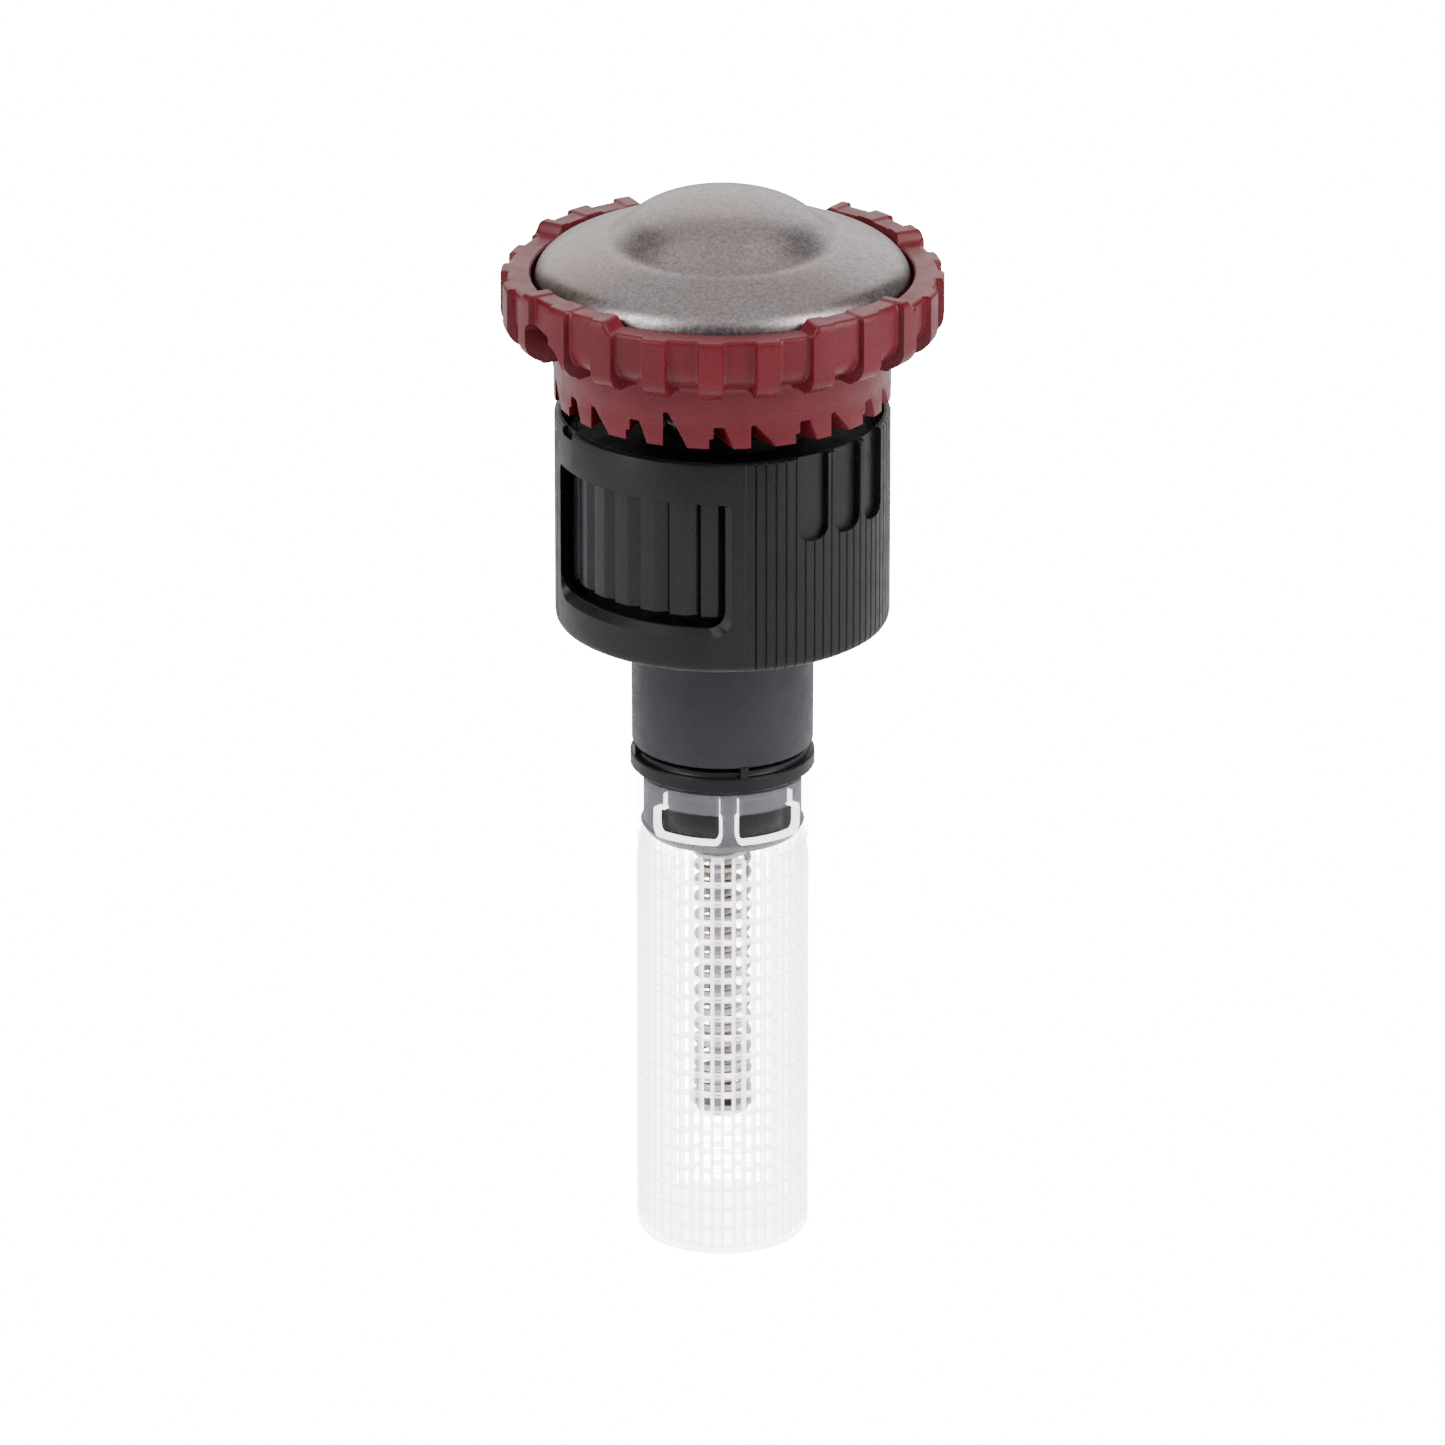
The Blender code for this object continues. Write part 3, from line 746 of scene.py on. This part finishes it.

# %% [markdown]
# ## The nozzle cover
# Under the deflector, a black plate closes the collar. It shows in the gap as a dark floor with a
# raised collar round the outlet.

# %% Lathe the cover
cover_outline = [
    (5.85, COVER_HIGH), (6.0, COVER_HIGH - 0.15), (6.0, 14.75), (6.2, 14.5), (10.4, 14.5), (10.55, 14.35),
    (RING_R - 0.02, 14.3), (RING_R - 0.02, 13.45), (6.0, 13.45), (6.0, COVER_LOW), (4.6, COVER_LOW),
    (4.6, COVER_HIGH)]
cover = lathe("cover_plate", cover_outline, 192)
round_edges(cover, 0.08, 2, 40)
shade(cover, 35)
# The cover's finish is painted shade: its black is darker than the collar's, for the shadow under the
# deflector.
fit_out(cover, PAINTED_SHADE_ACETAL, "base", "black_plastic", "nozzle_cover")

# %% [markdown]
# ## The neck and its riser socket
# The neck is a plain satin tube that drops into the riser. Round it, inside the collar, is the socket
# that screws onto the riser's male thread. The tube, roof and outer wall are one lathed outline. The
# thread is a small triangle that the Screw modifier carries up the wall, 28 turns to the inch.

# %% Lathe the neck
NECK_R = 6.62
SOCKET_R = 7.94
SOCKET_ROOF = 7.2
neck_outline = [
    (9.1, 8.2), (9.2, 8.1), (9.2, 1.75), (10.2, 1.75), (10.2, 1.15), (9.2, 1.15), (9.2, 0.5),
    (9.1, 0.4), (8.3, 0.4), (SOCKET_R, 0.75), (SOCKET_R, SOCKET_ROOF), (NECK_R, SOCKET_ROOF),
    (NECK_R, -2.0), (NECK_R - 0.02, -6.0), (NECK_R - 0.03, NECK_BOTTOM + 0.2),
    (NECK_R - 0.1, NECK_BOTTOM + 0.06), (NECK_R - 0.2, NECK_BOTTOM), (5.75, NECK_BOTTOM),
    (5.6, NECK_BOTTOM + 0.15), (5.6, 8.2)]
neck = lathe("neck", neck_outline, 256)
shade(neck, 30)

# %% Cut the female thread into the socket as a raised helix
THREAD_PITCH = 25.4 / 28
THREAD_TURNS = 6
THREAD_FOOT = 1.0
THREAD_R = 7.45
deselect()
bpy.ops.mesh.primitive_circle_add(vertices=3, radius=MM)
thread = bpy.context.object
corners = ((SOCKET_R + 0.1, THREAD_FOOT), (SOCKET_R + 0.1, THREAD_FOOT + 0.8 * THREAD_PITCH),
           (THREAD_R, THREAD_FOOT + 0.4 * THREAD_PITCH))
for vertex, (radius, height) in zip(thread.data.vertices, corners):
    vertex.co = Vector((radius, 0, height)) * MM
apply_modifier(thread, "SCREW", angle=math.tau * THREAD_TURNS, screw_offset=THREAD_PITCH * THREAD_TURNS * MM,
               steps=72 * THREAD_TURNS, render_steps=72 * THREAD_TURNS)
bpy.ops.object.mode_set(mode="EDIT")
bpy.ops.mesh.select_all(action="SELECT")
bpy.ops.mesh.fill_holes(sides=4)
bpy.ops.mesh.normals_make_consistent(inside=False)
bpy.ops.object.mode_set(mode="OBJECT")
neck = join("neck", [neck, thread])
fit_out(neck, DEEP_ACETAL, "base", "dark_grey_plastic", "nozzle_base")

# %% [markdown]
# ## The inlet spigot
# The spigot plugs into the neck and carries the basket. It has a stepped flange with four small keys
# up to the neck, two soft barbs for the basket and a wheel of ports inside. It is lathed, the ports
# are cut with wrapped blocks, and the keys are the same kind of block, joined on.

# %% Lathe the spigot
spigot_outline = [
    (5.4, -7.5), (5.5, -7.6), (5.5, -8.4), (4.95, -8.4), (4.95, -9.0), (5.5, -9.0), (5.5, -9.75),
    (6.15, -9.8), (6.25, -9.88), (6.27, -10.1), (6.35, -10.2), (FLANGE_R - 0.1, -10.24),
    (FLANGE_R, -10.34), (FLANGE_R, -11.24), (FLANGE_R - 0.1, -11.34), (5.8, -11.36), (5.75, -12.2),
    (5.75, -15.6), (5.95, -15.8), (5.7, -16.2), (5.55, -16.4), (4.75, -16.4), (4.6, -16.3), (4.6, -14.0),
    (1.15, -14.0), (1.15, POST_TOP), (1.95, POST_TOP), (1.95, -12.0), (4.6, -12.0), (4.6, -7.5)]
spigot = lathe("spigot", spigot_outline, 192)
PORT_WIDTH = 88.0
KEY_HALF = 2.6
ports = [wrapped_block("port", (b, b + PORT_WIDTH), (-15.2, -11.0), (2.3, 3.6))
         for b in (16.0, 136.0, 256.0)]
cut(spigot, ports)
keys = [wrapped_block("key", (b - KEY_HALF, b + KEY_HALF), (-10.4, -9.42), (5.2, 6.6))
        for b in (14.0, 104.0, 194.0, 284.0)]
spigot = join("spigot", [spigot] + keys)
shade(spigot, 32)
fit_out(spigot, BLACK_ACETAL, "base", "black_plastic", "inlet_spigot")

# %% [markdown]
# ## The filter basket
# The basket is one fine moulding: twenty-four upright bars with a ring every 1.5 mm round them. A
# sheet is lathed with one row for each edge of a ring, and its columns are moved onto the edges of
# the bars. Each bar is a thin panel with a thick border, which turns over at the top. The faces of
# the openings are deleted by their place, and Solidify gives the wall.

# %% Lathe the basket's sheet
BAR_PITCH = 15.0
COLUMN_EDGES = (1.0, 4.0, 7.0, 8.9, 11.5, 14.1)
RING_PITCH = 1.5
FIRST_RING = -18.75
RING_COUNT = 20
HALF_RING = 0.1
RING_RISE = 0.18
PANEL_DIP = 0.1
BORDER_TOP = -16.75
OPENING_TOP = -17.0
WALL = 0.48
SHEET_R = 6.1
basket_outline = [
    (BELL_R - 0.16, BASKET_TOP), (BELL_R - 0.05, BASKET_TOP - 0.12), (BELL_R - 0.05, -12.2),
    (BELL_R - 0.05, -13.2), (BELL_R - 0.05, -14.2), (6.7, -14.9), (6.56, -15.6), (6.38, -16.1),
    (6.3, BORDER_TOP), (6.24, OPENING_TOP), (6.12, -17.6)]
for i in range(RING_COUNT):
    middle = FIRST_RING - RING_PITCH * i
    basket_outline += [(SHEET_R, middle + HALF_RING), (SHEET_R, middle - HALF_RING)]
LAST_EDGE = basket_outline[-1][1]
basket_outline += [(6.1, FOOT + 0.45), (6.0, FOOT + 0.16), (5.75, FOOT + 0.03), (5.2, FOOT), (3.5, FOOT),
                   (1.5, FOOT), (0.4, FOOT), (0, FOOT)]
basket = lathe("basket", basket_outline, 24 * len(COLUMN_EDGES), closed=False)


def gather_columns(bearing, radius, height):
    column = round(bearing % 360 / (BAR_PITCH / len(COLUMN_EDGES)))
    whole, part = divmod(column, len(COLUMN_EDGES))
    return BAR_PITCH * whole + COLUMN_EDGES[part], radius, height


reshape(basket, gather_columns)


# %% Sort the sheet's faces, open the mesh and give the wall its thickness
def ring_distance(height):
    return abs((height - FIRST_RING + RING_PITCH / 2) % RING_PITCH - RING_PITCH / 2)


def kind_of(face):
    x, y, z = face.calc_center_median() / MM
    along = math.degrees(math.atan2(x, -y)) % BAR_PITCH
    in_mesh = LAST_EDGE < z < BORDER_TOP
    on_ring = in_mesh and z < FIRST_RING + 1 and ring_distance(z) < HALF_RING
    if in_mesh and z < OPENING_TOP and COLUMN_EDGES[0] < along < COLUMN_EDGES[2] and not on_ring:
        return "opening"
    on_border = not COLUMN_EDGES[0] < along < COLUMN_EDGES[2] and (
        z > OPENING_TOP or not COLUMN_EDGES[3] < along < COLUMN_EDGES[5])
    return "thick" if on_ring or (in_mesh and on_border) or z < FOOT + 1.0 else "thin"


basket.data.materials.append(THIN_POLY)
basket.data.materials.append(THICK_GLOWING_POLY)
work = bmesh.new()
work.from_mesh(basket.data)
for face in work.faces:
    face.material_index = 1 if kind_of(face) == "thick" else 0
bmesh.ops.delete(work, geom=[f for f in work.faces if kind_of(f) == "opening"], context="FACES")
work.to_mesh(basket.data)
work.free()
apply_modifier(basket, "SOLIDIFY", thickness=WALL * MM, offset=-1.0)


def shape_mesh(bearing, radius, height):
    along = bearing % BAR_PITCH
    if radius > 5.95 and LAST_EDGE - 0.01 < height < BORDER_TOP + 0.01:
        if height < FIRST_RING + 1 and ring_distance(height) < HALF_RING + 0.02:
            radius += RING_RISE
        elif abs(along - COLUMN_EDGES[4]) < 0.5:
            radius -= PANEL_DIP
    return bearing, radius, height


reshape(basket, shape_mesh)
round_edges(basket, 0.05, 1, 50)

# %% [markdown]
# The bell has two pairs of long slots, each with a thick white rim round its ends and its lower
# edge, and a shallow pane above it with a fine line down each side. Each rim is a larger block with
# the slot and its pane cut out of it.

# %% Cut the slots and frame them
def slot_cutters(slot_ends, pane_ends):
    return [wrapped_block("slot", slot_ends, (-15.05, -13.1), (5.6, 7.2), 0.2, 0.75),
            wrapped_block("clearance", pane_ends, (-13.5, -11.7), (5.6, 7.2), 0.15, 0.0)]


frames = []
for turn in (0, 180):
    for start, end, left, right in ((-45.5, -2.0, 7.0, 0.0), (10.0, 53.5, 0.0, 6.0)):
        slot_ends = (start + turn, end + turn)
        pane_ends = (start + turn + left, end + turn - right)
        rim = wrapped_block("slot_rim", (slot_ends[0] - 1.9, slot_ends[1] + 1.9), (-15.35, -13.0),
                            (6.2, BELL_R), 0.5, 0.95)
        pane_rim = wrapped_block("pane_rim", (pane_ends[0] - 0.45, pane_ends[1] + 0.45), (-13.3, -11.8),
                                 (6.35, BELL_R), 0.1, 0.0)
        for frame_piece in (rim, pane_rim):
            cut(frame_piece, slot_cutters(slot_ends, pane_ends))
            frame_piece.data.materials.append(THICK_GLOWING_POLY)
            frames.append(frame_piece)
        slot, clearance = slot_cutters(slot_ends, pane_ends)
        drop(clearance)
        cut(basket, [slot, wrapped_block("pane", pane_ends, (-13.3, -11.95), (BELL_R - 0.2, 7.2), 0.15, 0.0)])
basket = join("basket", [basket] + frames)
shade(basket, 50)
fit_out(basket, None, "filter", "natural_filter_plastic", "filter_basket")

# %% [markdown]
# ## The return spring
# A compression spring draws the shaft back down. Its turns follow a formula: the coil closes up at
# both ends. It is a curve with a round bevel, made a mesh. Its top is held, so it does not slide
# whole when the deflector is pulled; it stays with the base.

# %% Wind the spring
WIRE_R = 0.3
SPRING_TURNS = 20
PER_TURN = 24
deselect()
coil = bpy.data.curves.new("coil_spring", "CURVE")
coil.dimensions = "3D"
coil.bevel_depth = WIRE_R * MM
coil.bevel_resolution = 3
coil.use_fill_caps = True
turns = coil.splines.new("POLY")
turns.points.add(SPRING_TURNS * PER_TURN)
for i, point in enumerate(turns.points):
    share = i / (SPRING_TURNS * PER_TURN)
    rise = share - 0.06 * math.sin(math.tau * share)
    height = SPRING_LOW + WIRE_R + (SPRING_HIGH - SPRING_LOW - 2 * WIRE_R) * rise
    point.co = (*at(COIL_R - WIRE_R, 360 * i / PER_TURN, height), 1.0)
spring = bpy.data.objects.new("coil_spring", coil)
bpy.context.scene.collection.objects.link(spring)
make_active(spring)
bpy.ops.object.convert(target="MESH")
spring = bpy.context.object
shade(spring, 60)
fit_out(spring, SHAFT_STEEL, "base", "stainless_steel", "return_spring")
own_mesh(spring)

# %% [markdown]
# ## The pieces that stay as they are
# The shaft, washers, clips, seals and the white gears and bushes inside are plain turned shapes, so
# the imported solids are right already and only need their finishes.

# %% Finish the kept nodes
KEPT = {
    SHAFT_STEEL: ("shaft", "friction_disk", "head_clip", "lower_washer", "retaining_clip",
                  "spring_seat_washer"),
    WHITE_ACETAL: ("brake_pad", "chamber_lid", "deflector_bush", "valve_sleeve", "drive_spider",
                   "throttle_nut"),
    NITRILE: ("neck_seal", "shaft_seal", "sleeve_seal")}
for finish, nodes in KEPT.items():
    for node in nodes:
        NODES[node].data.materials.clear()
        NODES[node].data.materials.append(finish)
    print(finish.name, "on", len(nodes), "kept pieces")
